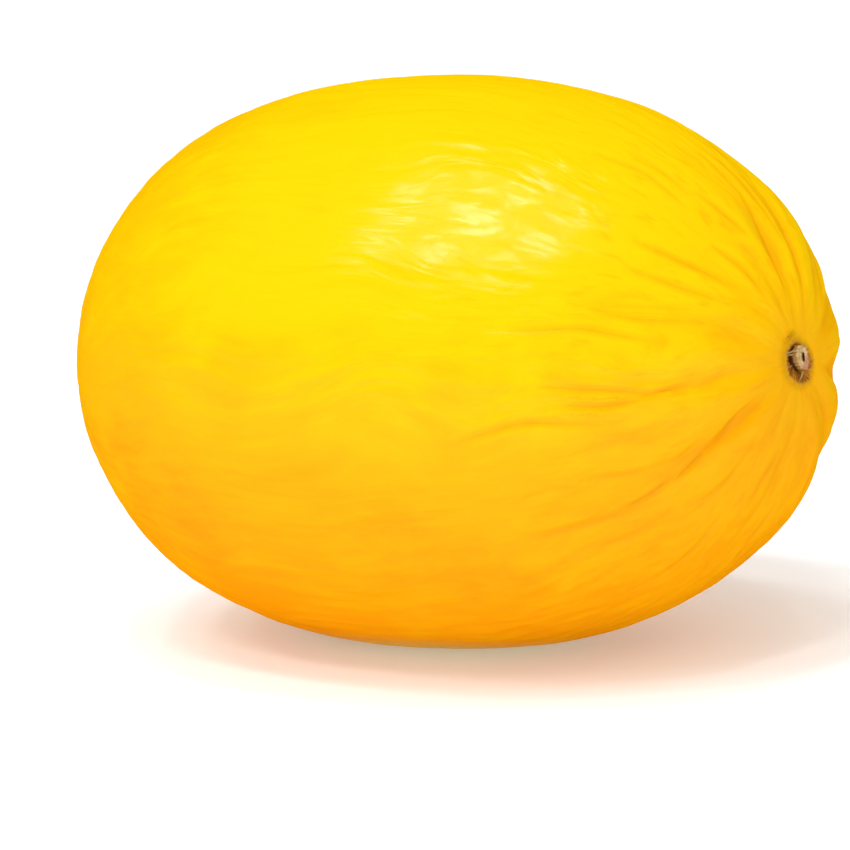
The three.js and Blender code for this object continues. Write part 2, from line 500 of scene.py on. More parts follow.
@dataclass(frozen=True)
class RindFinish:
    """Golden yellow waxy rind, more orange by the stem, corky in the scars, with painted shade: more orange
    low down and in the furrows, darker in the creases and deep in the stem scar.
    """

    yellow: Colour = (0.95, 0.575, 0.0004)
    gold: Colour = (0.94, 0.46, 0.0003)
    orange: Colour = (0.92, 0.33, 0.0003)
    # The crease colour is painted shade, laid darker into the crease cores.
    crease: Colour = (0.76, 0.33, 0.0005)
    green_tinge: Colour = (0.66, 0.44, 0.006)
    ground_pale: Colour = (0.88, 0.60, 0.16)
    halo: Colour = (0.58, 0.27, 0.003)
    scar_edge: Colour = (0.60, 0.27, 0.03)
    cork: Colour = (0.42, 0.145, 0.010)
    cork_light: Colour = (0.60, 0.26, 0.03)
    cork_dark_and_painted_shade: Colour = (0.11, 0.024, 0.001)
    roughness: float = 0.2
    wax: float = 0.155

    def material(self) -> bpy.types.Material:
        """Builds the node material."""
        tree = FinishTree("rind")
        grain = tree.vector("grain")
        warmth = tree.number("warmth")
        hollow = tree.number("hollow")
        ground = tree.number("ground")

        mottle = tree.noise(grain, 0.55, 4.0, 0.55, 0.4)
        streaks = tree.noise(tree.drawn_out(grain, 0.3), 2.6, 5.0, 0.6, 0.1)
        cloud = tree.noise(tree.placed(1.0), 26.0, 3.0, 0.5)
        core, flank = self._creases(tree, grain)

        # The warm tone holds the rind's own warmer tones and painted shade low down; it lays gold and orange
        # over the yellow.
        warm = tree.stirred(warmth, mottle, 0.7)
        warm = tree.stirred(warm, streaks, 0.6)
        patchy = tree.span(mottle, 0.3, 0.6, 0.55, 0.9)
        tinge = tree.times(tree.span(cloud, 0.56, 0.72), tree.span(hollow, 0.1, 0.5, 0.0, 0.35))
        specks = tree.span(tree.cells(tree.drawn_out(grain, 2.0), 2.2), 0.02, 0.06, 1.0, 0.0)
        coats = [
            (self.gold, tree.span(warm, 0.0, 0.6)),
            (self.orange, tree.span(warm, 0.5, 1.2)),
            # Painted shade: orange laid into the furrows, where shade falls.
            (self.orange, tree.span(hollow, 0.15, 1.0, 0.0, 0.6)),
            (self.green_tinge, tinge),
            (self.ground_pale, tree.times(ground, patchy)),
            # Painted shade: the creases turn orange on their flanks and darker in their cores; the streaks
            # laid with the flanks are the rind's own tone.
            (self.orange, tree.times(flank, 0.7)),
            (self.crease, tree.times(core, 0.85)),
            (self.orange, tree.times(specks, 0.35)),
        ]
        colour = tree.coats(self.yellow, coats)
        colour, rays, inside = self._scars(tree, colour, grain)
        tree.join(colour, "Base Color")

        gloss = tree.stirred(self.roughness, streaks, 0.15)
        gloss = tree.math(Sum.ADD, gloss, tree.times(inside, 0.5))
        tree.join(gloss, "Roughness")
        tree.set(Specular_IOR_Level=0.0, Coat_Weight=self.wax, Coat_IOR=2.0, Coat_Roughness=self.roughness)

        ripple = tree.noise(tree.drawn_out(grain, 0.24), 2.0, 2.0, 0.45, 0.3)
        skin_grain = tree.noise(grain, 9.0, 3.0, 0.55)
        peel = tree.noise(tree.placed(1.0), 700.0, 2.0, 0.5)
        rippled = tree.times(ripple, tree.number("rippled"))
        grooves = tree.math(Sum.SUBTRACT, 1.0, core)
        corky = tree.times(rays, inside)
        tree.bump([(rippled, 0.62), (grooves, 0.05), (skin_grain, 0.02), (peel, 0.02), (corky, 0.4)])
        return tree.material

    def _creases(
        self, tree: FinishTree, grain: Socket
    ) -> tuple[Socket, Socket]:
        """The painted shade of the creases, darker in their cores and orange on their flanks, and faint
        streaks along the grain on the stem side.

        Args:
            tree: the finish's tree.
            grain: the grain coordinates.

        Returns:
            From 0 to 1, the painted shade of the cores, and that of the flanks together with the streaks.
        """
        stem_side = tree.number("stem_side")
        gap = tree.math(Sum.ABSOLUTE, tree.number("crease_gap"))
        strength = tree.number("crease_strength")
        broken = tree.noise(tree.drawn_out(grain, 0.7), 3.0, 3.0, 0.6)
        ragged = tree.math(Sum.ADD, gap, tree.span(broken, 0.35, 0.7, 0.0, 0.35))
        core = tree.times(tree.span(ragged, 0.05, 0.55, 1.0, 0.0), strength)
        flank = tree.times(tree.span(gap, 0.2, 1.9, 1.0, 0.0), strength)
        streaks = tree.noise(tree.drawn_out(grain, 0.1), 3.2, 2.0, 0.5)
        streaks = tree.times(tree.span(streaks, 0.54, 0.74, 0.0, 0.5), stem_side)
        return core, tree.math(Sum.MAXIMUM, flank, streaks)

    def _scars(
        self, tree: FinishTree, rind: Socket, grain: Socket
    ) -> tuple[Socket, Socket, Socket]:
        """Lays both scars over the rind: an olive halo, a tan fibrous edge and brown cork with dark radial
        streaks, and painted shade that darkens the cork deep inside.

        Args:
            tree: the finish's tree.
            rind: the rind's colour.
            grain: the grain coordinates.

        Returns:
            The colour, the radial grain of the cork, and from 0 to 1 how far inside a scar a point is.
        """
        outside = tree.number("outside_scar")
        rays = tree.noise(tree.drawn_out(grain, 0.4), 2.6, 5.0, 0.65, 0.2)
        crumbs = tree.noise(tree.placed(1.0), 1100.0, 4.0, 0.6)
        edge = tree.stirred(outside, rays, 1.6)
        edge = tree.stirred(edge, crumbs, 1.0)
        away = tree.math(Sum.ABSOLUTE, edge)
        skin = [
            (self.halo, tree.span(edge, 0.0, 3.0, 0.7, 0.0)),
            (self.scar_edge, tree.span(away, 0.1, 0.5, 0.85, 0.0)),
        ]
        cork = [
            (self.cork_light, tree.span(rays, 0.48, 0.64)),
            (self.cork_dark_and_painted_shade, tree.span(rays, 0.36, 0.47, 0.85, 0.0)),
            # Painted shade: the cork darkened deep inside the scar, round the stub's foot.
            (self.cork_dark_and_painted_shade, tree.span(edge, -4.6, -2.9, 0.9, 0.0)),
        ]
        inside = tree.span(edge, -0.45, -0.05, 1.0, 0.0)
        return tree.lay(tree.coats(rind, skin), tree.coats(self.cork, cork), inside), rays, inside


@dataclass(frozen=True)
class DryStemFinish:
    """Dry woody stalk: cream and pinkish fibres at the break, olive-tan bark outside, brown cracks, matt,
    with painted shade in the bore and low down.
    """

    cream: Colour = (0.80, 0.54, 0.24)
    pink: Colour = (0.74, 0.35, 0.20)
    bark: Colour = (0.46, 0.26, 0.05)
    grey: Colour = (0.40, 0.24, 0.11)
    crack_and_painted_shade: Colour = (0.10, 0.028, 0.003)
    roughness: float = 0.82

    def material(self) -> bpy.types.Material:
        """Builds the node material."""
        tree = FinishTree("dry_stem")
        fibre = tree.vector("fibre")
        # Painted shade: this number darkens the stalk deep in the bore and low down.
        depth = tree.number("shelter")
        bark = tree.number("bark")
        flush = tree.number("flush")
        lines = tree.noise(fibre, 3.0, 5.0, 0.6, 0.3)
        patch = tree.noise(fibre, 0.7, 2.0, 0.5)
        pinkness = tree.stirred(flush, patch, 0.9)
        weathered = tree.noise(fibre, 1.3, 3.0, 0.55, 0.2)
        coats = [
            (self.pink, tree.span(pinkness, 0.3, 0.8)),
            (self.bark, tree.span(bark, 0.3, 0.8)),
            (self.grey, tree.span(weathered, 0.48, 0.62, 0.0, 0.75)),
            (self.crack_and_painted_shade, tree.span(lines, 0.54, 0.7, 0.0, 0.6)),
            # Painted shade: the crack colour laid deep in the bore and low down.
            (self.crack_and_painted_shade, tree.span(depth, 0.3, 0.9)),
        ]
        tree.join(tree.coats(self.cream, coats), "Base Color")
        tree.join(tree.span(lines, 0.3, 0.7, self.roughness - 0.1, self.roughness + 0.1), "Roughness")
        tree.set(Specular_IOR_Level=0.2)
        tree.bump([(lines, 0.22), (tree.noise(fibre, 14.0, 3.0, 0.6), 0.05)])
        return tree.material


@dataclass(frozen=True)
class FloorFinish:
    """Matt pale studio floor that glows a little of itself."""

    colour: Colour = (0.85, 0.89, 0.92)
    glow: float = 0.22

    def material(self) -> bpy.types.Material:
        """Builds the node material."""
        tree = FinishTree("studio_floor")
        drift = tree.noise(tree.placed(1.0), 3.0, 3.0, 0.5)
        darker = tuple(0.985 * c for c in self.colour)
        tree.join(tree.lay(self.colour, darker, drift), "Base Color")
        tree.join(tree.span(drift, 0.3, 0.7, 0.72, 0.8), "Roughness")
        tree.set(Specular_IOR_Level=0.2, Emission_Color=(1.0, 1.0, 1.0, 1.0), Emission_Strength=self.glow)
        tree.bump([(tree.noise(tree.placed(1.0), 400.0, 2.0), 0.02)])
        return tree.material


@dataclass
class MelonFruit:
    """The whole fruit's rind, with its wrinkles, creases and both scars in the mesh."""

    form: FruitForm = field(default_factory=FruitForm)
    finish: RindFinish = field(default_factory=RindFinish)
    points_round: int = 640
    body_rows: int = 129
    body_crowding: float = 0.075
    ridge_mm: float = 0.42
    wrinkle_mm: float = 0.2
    ripple_mm: float = 0.15
    undulation_mm: float = 0.45
    flat_softness_mm: float = 0.35
    scar_mm: float = 5.6
    scar_shift_mm: tuple[float, float] = (0.4, -0.8)
    shown_creases: tuple[Crease, ...] = (
        Crease(((15, 198), (20, 201), (24, 206), (29, 209)), 0.4, 0.6),
        Crease(((27, 207.5), (31, 210), (36, 212)), 0.34, 0.5),
        Crease(((34, 210), (40, 212), (47, 212)), 0.36, 0.55),
        Crease(((46, 210), (52, 212), (60, 211)), 0.2, 0.7),
        Crease(((27, 179), (33, 180), (38, 180.5)), 0.3, 0.6),
        Crease(((36, 181.5), (43, 182), (50, 180)), 0.26, 0.55),
        Crease(((27, 201), (33, 205), (39, 202.5)), 0.2, 0.6),
        Crease(((37, 204), (43, 201.5), (50, 199)), 0.22, 0.6),
        Crease(((30, 190), (38, 191), (46, 189)), 0.14, 0.7),
        Crease(((18, 222), (28, 227), (40, 226)), 0.18, 0.8),
        Crease(((14, 66), (20, 66), (30, 70), (38, 72)), 0.25, 0.8),
        Crease(((12, 96), (18, 90), (24, 88), (34, 84)), 0.3, 0.9),
    )
    full_crease_mm: float = 0.36
    crease_fades_mm: tuple[float, float] = (1.4, 2.3)
    crease_steps: int = 60
    crease_smoothing: int = 15
    lip_share: float = 0.3
    lip_at: float = 2.2
    lip_width: float = 1.6
    grain_pace: float = 0.136
    scar_stretched_to: float = 136.0
    scar_shallow_to: float = 205.0
    halo_wide_to: float = 155.0
    scuff_from_axis_mm: float = 7.4
    scuff_half_mm: float = 1.4
    scuff_longitude: float = 117.0
    scuff_half: float = 22.0
    scuff_row_mm: float = 0.85
    ground_spot_half_mm: tuple[float, float] = (52.0, 36.0)
    ground_spot_back_mm: float = 12.0
    stray_creases: int = 44
    blossom_creases: int = 16
    seed: int = 11

    def _rings(self) -> list[Ring]:
        """Rings from the stem end to the blossom end, fine at the scar and coarser along the belly."""
        stem = self._cap([(0.18, 2.2, 12, 8), (2.4, 8.2, 34, 4), (8.5, 20.0, 17, 2)])
        blossom = self._cap([(20.0, 8.5, 11, 2), (8.0, 2.4, 12, 4), (2.1, 0.2, 6, 8)])
        first, last = stem[-1].place, 180.0 - blossom[0].place
        body = []
        for i in range(1, self.body_rows):
            share = i / self.body_rows
            place = first + (last - first) * (share - self.body_crowding * math.sin(2 * math.pi * share))
            body.append(Ring(place, self.points_round))
        return [*stem, *body, *(Ring(180.0 - r.place, r.count) for r in blossom)]

    def _cap(self, bands: list[tuple[float, float, int, int]]) -> list[Ring]:
        """Rings round one end of the fruit, placed by their distance from the long axis.

        Args:
            bands: for each band its first and last distance in millimetres, its rings, and the part of the
                belly's points that each of them has.

        Returns:
            The rings, their places measured from that end.
        """
        girth = self.form.girth_radius_mm
        radii = [(r, part) for start, end, rings, part in bands for r in np.linspace(start, end, rings)]
        return [Ring(math.degrees(math.asin(r / girth)), self.points_round // part) for r, part in radii]

    def _strays(self) -> list[Crease]:
        """Short creases scattered round the stem end and, fainter, the blossom end."""
        draw = np.random.RandomState(self.seed)
        creases = []
        for i in range(self.stray_creases):
            start = draw.uniform(12, 48)
            length = draw.uniform(10, 26)
            at = 360.0 * (i + draw.uniform(-0.4, 0.4)) / self.stray_creases
            bend = draw.uniform(-4, 4, size=2)
            path = ((start, at), (start + length / 2, at + bend[0]), (start + length, at + bend[0] + bend[1]))
            creases.append(Crease(path, draw.uniform(0.08, 0.26), draw.uniform(0.7, 1.3)))
        for i in range(self.blossom_creases):
            start = draw.uniform(134, 150)
            length = draw.uniform(10, 20)
            at = 360.0 * (i + draw.uniform(-0.4, 0.4)) / self.blossom_creases
            path = ((start, at), (start + length, at + draw.uniform(-4, 4)))
            creases.append(Crease(path, draw.uniform(0.06, 0.16), draw.uniform(0.8, 1.3)))
        return creases

    def _follow(
        self, crease: Crease, polar: np.ndarray, longitude: np.ndarray
    ) -> tuple[np.ndarray, np.ndarray]:
        """Follows one crease.

        Args:
            crease: the crease.
            polar: polar angles of the points.
            longitude: their longitudes.

        Returns:
            How many millimetres to its side each point is, and how strong the crease is there, from 0 to 1.
        """
        stations, turns = (np.array(column, dtype=float) for column in zip(*crease.path))
        inside = (polar > stations[0]) & (polar < stations[-1])
        fine = np.linspace(stations[0], stations[-1], self.crease_steps)
        kernel = np.hanning(self.crease_smoothing)
        padded = np.pad(np.interp(fine, stations, turns), self.crease_smoothing // 2, mode="edge")
        smooth = np.convolve(padded, kernel / kernel.sum(), mode="valid")
        centre = np.interp(polar, fine, smooth)
        side = np.radians(longitude_gap(longitude, centre)) * self.form.from_axis_mm(polar)
        share = (polar - stations[0]) / (stations[-1] - stations[0])
        return side, np.where(inside, np.sin(np.pi * np.clip(share, 0, 1)) ** 0.7, 0.0)

    def _creased(self, polar: np.ndarray, longitude: np.ndarray) -> tuple[np.ndarray, np.ndarray, np.ndarray]:
        """All the creases: grooves with softly raised lips, tapering to both ends.

        Args:
            polar: polar angles of the points.
            longitude: their longitudes.

        Returns:
            Heights in millimetres, how many millimetres to the side of the nearest crease each point is, and
            how strong that crease is there, from 0 to 1.
        """
        height = np.zeros(len(polar))
        gap = np.full(len(polar), 9.0)
        strength = np.zeros(len(polar))
        for crease in (*self.shown_creases, *self._strays()):
            side, taper = self._follow(crease, polar, longitude)
            across = side / crease.width_mm
            lips = self.lip_share * np.exp(-((np.abs(across) - self.lip_at) ** 2) / self.lip_width)
            height += crease.depth_mm * taper * (lips - np.exp(-(across**2)))
            nearer = (taper > 0) & (np.abs(side) < np.abs(gap))
            gap = np.where(nearer, side, gap)
            near = 1 - ease(np.abs(side), *self.crease_fades_mm)
            depth_share = min(1.0, crease.depth_mm / self.full_crease_mm)
            strength = np.where(nearer, taper * near * depth_share, strength)
        return height, gap, strength

    def _wander(self, polar: np.ndarray, longitude: np.ndarray) -> np.ndarray:
        """The angle of the grain line through each point, in radians, as the lines wander a little."""
        turn = np.radians(longitude)
        where = np.stack([polar / 17.0, np.cos(turn) * 3, np.sin(turn) * 3], axis=1)
        meander = GradientNoise(self.seed + 1).at(where)
        return turn + math.radians(5.0) * meander

    def _gather(self, polar: np.ndarray) -> np.ndarray:
        """How closely the grain lines keep to the meridians as they gather at the ends, 1 at the belly."""
        return 0.42 + 0.58 * np.sin(np.radians(polar))

    def _relief(
        self, polar: np.ndarray, longitude: np.ndarray, body: np.ndarray
    ) -> tuple[np.ndarray, np.ndarray]:
        """The fine relief over the fruit's form.

        Args:
            polar: polar angles of the points.
            longitude: their longitudes.
            body: their places on the smooth body, in millimetres.

        Returns:
            Heights in millimetres, and from 0 to 1 how far each point lies in a furrow.
        """
        turn = self._wander(polar, longitude)
        gather = self._gather(polar)

        def streak(seed: int, round_count: float, run: float) -> np.ndarray:
            """Noise drawn out along the meridians."""
            return GradientNoise(self.seed + seed).at(rolled(round_count * gather, turn, polar / run))

        stem_side = 1 - ease(polar, 25, 95)
        blossom_side = ease(polar, 130, 160)
        quiet_poles = ease(polar, 5, 14) * (1 - ease(polar, 168, 176))
        ridges = streak(2, 4.6, 24.0) * (0.3 + 0.9 * stem_side + 0.35 * blossom_side)
        wrinkles = np.sqrt(streak(3, 9.5, 13.0) ** 2 + 0.02) - 0.45
        wrinkles = wrinkles * (0.35 + 0.65 * stem_side + 0.3 * blossom_side)
        rippled = self._rippled(polar)
        fine_wrinkles = streak(4, 19.0, 6.5) * (0.4 + 0.6 * rippled)
        ripples = streak(5, 23.0, 4.4) * rippled
        undulation = GradientNoise(self.seed + 6).at(body / 34.0)
        height = quiet_poles * (
            self.ridge_mm * ridges
            + self.wrinkle_mm * wrinkles
            + 0.45 * self.wrinkle_mm * fine_wrinkles
            + self.ripple_mm * ripples
        )
        height += self.undulation_mm * undulation * ease(polar, 8, 30)
        folds = self.form.stem_folds_mm(polar, longitude)
        hollow = np.clip(-folds / 1.6, 0, 1) * 0.7
        hollow += quiet_poles * (np.clip(-ridges, 0, 1) * 0.3 + np.clip(-wrinkles, 0, 1) * 0.35)
        return height, np.clip(hollow, 0, 1)

    def _rippled(self, polar: np.ndarray) -> np.ndarray:
        """How rippled the skin is, from 1 along the belly to 0.25 towards the ends."""
        return 0.25 + 0.75 * ease(polar, 26, 50) * (1 - ease(polar, 125, 155))

    def _scar_mm(self, polar: np.ndarray, longitude: np.ndarray) -> tuple[np.ndarray, np.ndarray]:
        """The ragged corky detail of both scars.

        Args:
            polar: polar angles of the points.
            longitude: their longitudes.

        Returns:
            Heights in millimetres, and how many millimetres each point is outside the nearer scar's edge.
        """
        form = self.form
        from_axis = np.where(polar < 90, form.from_cup_axis_mm(polar, longitude), form.from_axis_mm(polar))
        turn = np.radians(longitude)
        round_noise = GradientNoise(self.seed + 7).at(rolled(2.2, turn, polar * 0.1))
        rays = GradientNoise(self.seed + 8).at(rolled(9.0, turn, from_axis * 0.25))
        grit = GradientNoise(self.seed + 9).at(rolled(from_axis, turn, np.zeros(len(turn))) * 1.9)
        x = form.from_axis_mm(polar) * np.cos(turn) - self.scar_shift_mm[0]
        y = form.from_axis_mm(polar) * np.sin(turn) - self.scar_shift_mm[1]
        round_scar = np.arctan2(y, x)
        reach = self.scar_mm + 0.35 * np.cos(2 * round_scar)
        reach = reach + 0.55 * np.cos(2 * (round_scar - math.radians(self.scar_stretched_to)))
        outside = np.hypot(x, y) - reach - 0.3 * round_noise - 0.15 * rays
        cup = form.cup_depth_mm * (1 - ease(from_axis, form.cup_floor_mm, form.cup_rim_mm))
        shallow = (0.5 + 0.5 * np.cos(round_scar - math.radians(self.scar_shallow_to))) ** 2
        bowl = form.cup_depth_mm * (1 - 0.6 * shallow) * (1 - ease(outside, -4.3, 0.05))
        slope = 0.22 * rays * ease(outside, -3.4, -1.4) * (1 - ease(outside, -0.4, 1.0))
        lip = 0.2 * np.exp(-(((outside - 0.2) / 0.5) ** 2)) * (1 + 0.8 * rays)
        scuff_out = (from_axis - self.scuff_from_axis_mm) / self.scuff_half_mm
        scuff_round = longitude_gap(longitude, self.scuff_longitude) / self.scuff_half
        scuffed = np.exp(-(scuff_out**2) - scuff_round**2)
        stem = cup - bowl + slope + lip + 0.12 * grit * (1 - ease(outside, -1.5, 0.0))
        rows = np.sin(2 * np.pi * (y - 0.35 * x) / self.scuff_row_mm + 2.0 * grit)
        stem += scuffed * (0.15 + 0.25 * grit + 0.28 * rows)
        tail = 0.12 * (0.5 * grit + rays) * (1 - ease(from_axis, 3.0, 5.0))
        narrowed = 1 - 0.4 * np.cos(turn - math.radians(self.halo_wide_to))
        outside = np.where(outside > 0, outside * narrowed, outside)
        outside -= 1.6 * scuffed * (0.6 + grit)
        blossom_outside = 0.8 * (from_axis - 0.5 * round_noise - 0.3 * rays) - 1.6
        stem_side = polar < 90.0
        return np.where(stem_side, stem, tail), np.clip(np.where(stem_side, outside, blossom_outside), -5, 9)

    def centre(self) -> Vector:
        """The middle of the fruit's own frame, in metres."""
        grid = RingGrid(0.0, self._rings(), 180.0)
        return Vector(self.lie_shift(self._formed(grid.places, grid.turns)) * MM)

    def _formed(self, polar: np.ndarray, longitude: np.ndarray) -> np.ndarray:
        """The fruit's form as its solid has it, in the fruit's own frame, in millimetres."""
        broad = self.form.stem_folds_mm(polar, longitude) + self.form.ends_mm(polar, longitude)
        return self.form.body(polar, longitude) + self.form.normals(polar, longitude) * broad[:, None]

    def build(self) -> bpy.types.Object:
        """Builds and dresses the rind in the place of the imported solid."""
        grid = RingGrid(0.0, self._rings(), 180.0)
        polar, longitude = grid.places, grid.turns
        body = self.form.body(polar, longitude)
        normals = self.form.normals(polar, longitude)
        formed = self._formed(polar, longitude)
        fine, hollow = self._relief(polar, longitude, body)
        creases, crease_gap, crease_strength = self._creased(polar, longitude)
        fine += creases
        scars, outside_scar = self._scar_mm(polar, longitude)
        fine -= np.mean(fine) + 0.1
        skin = formed + normals * (fine * ease(self.form.from_axis_mm(polar), 5, 12) + scars)[:, None]
        shift = self.lie_shift(formed)
        placed = self._lie(skin) + shift
        soft = self.flat_softness_mm
        depth = placed[:, 2]
        placed[:, 2] = 0.5 * (depth + np.sqrt(depth**2 + soft**2))
        piece = mesh_object("melon_rind", placed * MM, grid.faces())
        give_values(
            piece,
            hollow=hollow,
            crease_gap=crease_gap,
            crease_strength=crease_strength,
            outside_scar=outside_scar,
            stem_side=0.12 + 0.88 * (1 - ease(polar, 30, 75)),
            rippled=self._rippled(polar),
        )
        self._store_tones(piece, polar, longitude, placed)
        piece.data.materials.append(self.finish.material())
        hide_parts("melon_fruit")
        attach(piece, "root")
        log.info("%s: %d points", piece.name, len(polar))
        return piece

    def _store_tones(
        self, piece: bpy.types.Object, polar: np.ndarray, longitude: np.ndarray, placed: np.ndarray
    ) -> None:
        """Stores the grain lines, the yellow's warm tone with painted shade that makes it more orange low
        down, and the pale ground spot for the rind's material.
        """
        turn = self._wander(polar, longitude)
        gather = self._gather(polar) * self.form.girth_radius_mm / 10.0
        grain = rolled(gather, turn, polar * self.grain_pace)
        # Painted shade: the rind turns more orange towards the bottom, where shade falls; the orange towards
        # the stem end and the blossom end is the rind's own tone.
        low = 1 - ease(placed[:, 2] / placed[:, 2].max(), 0.12, 0.8)
        blossom = 0.4 * ease(polar, 80, 120) + 0.3 * ease(polar, 118, 160)
        low *= 0.92 - 0.4 * ease(polar, 95, 150)
        warmth = low + 0.26 * (1 - ease(polar, 5, 36)) + blossom * (1 - 0.6 * low)
        off = placed[:, :2] - placed[:, :2].mean(axis=0) + (self.ground_spot_back_mm, 0.0)
        spread = np.hypot(*(off / self.ground_spot_half_mm).T)
        ground = (1 - ease(spread, 0.55, 1.1)) * (1 - ease(placed[:, 2], 8.0, 22.0))
        give_values(piece, grain=grain, warmth=warmth, ground=ground)

    def _lie(self, points: np.ndarray) -> np.ndarray:
        """Turns points of the fruit's own frame to the way it lies."""
        tilt = math.radians(self.form.lie_tilt)
        c, s = math.cos(tilt), math.sin(tilt)
        return points @ np.array([[c, 0.0, -s], [0.0, 1.0, 0.0], [s, 0.0, c]]).T

    def lie_shift(self, formed: np.ndarray) -> np.ndarray:
        """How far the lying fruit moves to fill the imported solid's box, in millimetres."""
        low, high = (np.array(corner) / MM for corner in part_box("melon_fruit"))
        lying = self._lie(formed)
        shift = (low + high - lying.min(axis=0) - lying.max(axis=0)) / 2
        shift[2] = high[2] - lying[:, 2].max()
        return shift


@dataclass(frozen=True)
class Fibre:
    """A dry fibre between stub and scar, in the stub's own frame: its ends, bend and half-thicknesses."""

    start: Place
    bend: Place
    end: Place
    thick_mm: float
    thin_mm: float


@dataclass
class StemStub:
    """The dry, leaning, hollow stub of the stalk, with the fibres that tie it to the scar."""

    finish: DryStemFinish = field(default_factory=DryStemFinish)
    radius_mm: float = 2.65
    upright_stretch: float = 1.36
    turned: float = 33.0
    height_mm: float = 3.5
    lean_mm: float = 0.6
    lean_aside_mm: float = 0.5
    sunk_mm: float = 0.7
    bore_centre_mm: tuple[float, float] = (-0.1, 0.0)
    bore_half_mm: tuple[float, float] = (0.4, 1.1)
    bore_depth_mm: float = 1.9
    peel_at: float = 0.62
    flutes: int = 7
    flute_mm: float = 0.2
    points_round: int = 168
    face_rows: int = 16
    fibres: tuple[Fibre, ...] = (
        Fibre((-0.8, 3.0, 3.2), (-3.0, 2.2, 2.8), (-6.0, 2.7, 1.7), 0.24, 0.13),
        Fibre((-1.9, 1.6, 2.5), (-4.1, 1.95, 2.2), (-6.1, 1.75, 1.55), 0.19, 0.12),
        Fibre((0.5, -2.9, 2.7), (0.1, -4.2, 2.5), (-0.4, -5.6, 1.6), 0.28, 0.15),
        Fibre((-1.6, -1.0, 1.2), (-3.4, -1.6, 1.0), (-5.0, -1.9, 1.5), 0.17, 0.10),
        Fibre((-1.2, -2.2, 1.2), (-2.8, -3.2, 1.1), (-3.9, -3.8, 1.5), 0.17, 0.10),
        Fibre((2.1, 1.2, 2.0), (3.6, 1.7, 1.9), (5.3, 1.6, 1.5), 0.16, 0.09),
        Fibre((2.0, -1.4, 2.0), (3.2, -2.3, 1.8), (4.6, -3.0, 1.5), 0.16, 0.09),
    )
    fibre_steps: int = 18
    fibre_sides: int = 10
    seed: int = 31

    def _seat(self) -> Matrix:
        """The matrix from the stub's own frame, its axis along +Z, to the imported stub's place in metres."""
        low, high = (Vector(corner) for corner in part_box("stem_stub"))
        tilt = math.radians(FruitForm().lie_tilt)
        axis = Vector((math.cos(tilt), 0.0, math.sin(tilt)))
        upright = Vector((-math.sin(tilt), 0.0, math.cos(tilt)))
        turn = Matrix((upright.cross(axis), upright, axis)).transposed().to_4x4()
        foot = (low + high) / 2 - axis * (self.height_mm / 2 * MM) - upright * (self.lean_mm / 2 * MM)
        return Matrix.Translation(foot) @ turn

    def _profile(self) -> tuple[np.ndarray, np.ndarray, int]:
        """The turned outline.

        Returns:
            Radii and heights in millimetres from the foot's centre to the bottom of the bore, and the
            number of the first row inside the bore.
        """
        wide, tall = self.radius_mm, self.height_mm
        foot = [(r, -self.sunk_mm) for r in (0.0, 1.0, 1.7)] + [(wide * 0.8, -self.sunk_mm + 0.05)]
        share = np.linspace(-0.16, 0.93, 40)
        bark = 0.9 + 0.08 * ease(share, 0.1, 0.6) - 0.07 * ease(share, self.peel_at, self.peel_at + 0.06)
        wall = list(zip(wide * bark, tall * share))
        rim = [(wide * k, tall * (1.0 - (k - 0.84) ** 2 * 4.0)) for k in (0.91, 0.90, 0.88, 0.85)]
        face = [(r, tall) for r in np.linspace(wide * 0.82, 1.0, self.face_rows)]
        bore = [(1.0 - 0.2 * s, tall - self.bore_depth_mm * s) for s in np.linspace(0.05, 1.0, 14)]
        end = [(r, tall - self.bore_depth_mm) for r in (0.5, 0.25, 0.0)]
        rows = np.array(foot + wall + rim + face + bore + end)
        return rows[:, 0], rows[:, 1], len(foot + wall + rim + face)

    def stub(self) -> bpy.types.Object:
        """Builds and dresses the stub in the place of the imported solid."""
        radii, heights, first_bore = self._profile()
        grid = RingGrid(0, [Ring(i, self.points_round) for i in range(1, len(radii) - 1)], len(radii) - 1)
        row = grid.places.astype(int)
        radius, up = radii[row], heights[row]
        turn = np.radians(grid.turns)
        in_bore = row >= first_bore
        fibre = rolled(5.0, turn, up * 0.22 + radius * 0.12)
        lumps = GradientNoise(self.seed).at(rolled(1.1, turn, up * 0.2))
        strands = GradientNoise(self.seed + 1).at(fibre)
        splinters = GradientNoise(self.seed + 2).at(fibre * 2.4)
        wander = turn + 0.35 * lumps + 0.12 * up
        outer = ease(radius, 1.2, 2.2) * ~in_bore
        flute = (0.5 + 0.5 * np.cos(self.flutes * wander)) * (1 - 0.85 * ease(up / self.height_mm, 0.5, 0.85))
        radius = radius - self.flute_mm * outer * flute
        radius = radius * (1 + outer * (0.06 * lumps + 0.03 * strands + 0.02 * splinters))
        ragged = ease(up / self.height_mm, 0.35, 1.0) * ~in_bore
        up = up + ragged * (0.3 * lumps + 0.14 * strands + 0.1 * splinters - 0.2)
        up = up - 0.3 * (1 - ease(radius, 0.9, 2.0)) * ragged
        inner = 1 - ease(radius, 0.95, 2.0)
        half_x, half_y = self.bore_half_mm
        across = radius * np.cos(turn) * (1 + inner * (half_x - 1))
        upright = radius * np.sin(turn) * (self.upright_stretch + inner * (half_y - self.upright_stretch))
        angle = math.radians(self.turned) * (1 - inner)
        x = across * np.cos(angle) - upright * np.sin(angle) + inner * self.bore_centre_mm[0]
        y = upright * np.cos(angle) + across * np.sin(angle) + inner * self.bore_centre_mm[1]
        share = np.clip(up / self.height_mm, 0, 1)
        x = x + self.lean_aside_mm * share
        y = y + self.lean_mm * share
        piece = mesh_object("stalk_stub", np.stack([x, y, up], axis=1) * MM, grid.faces())
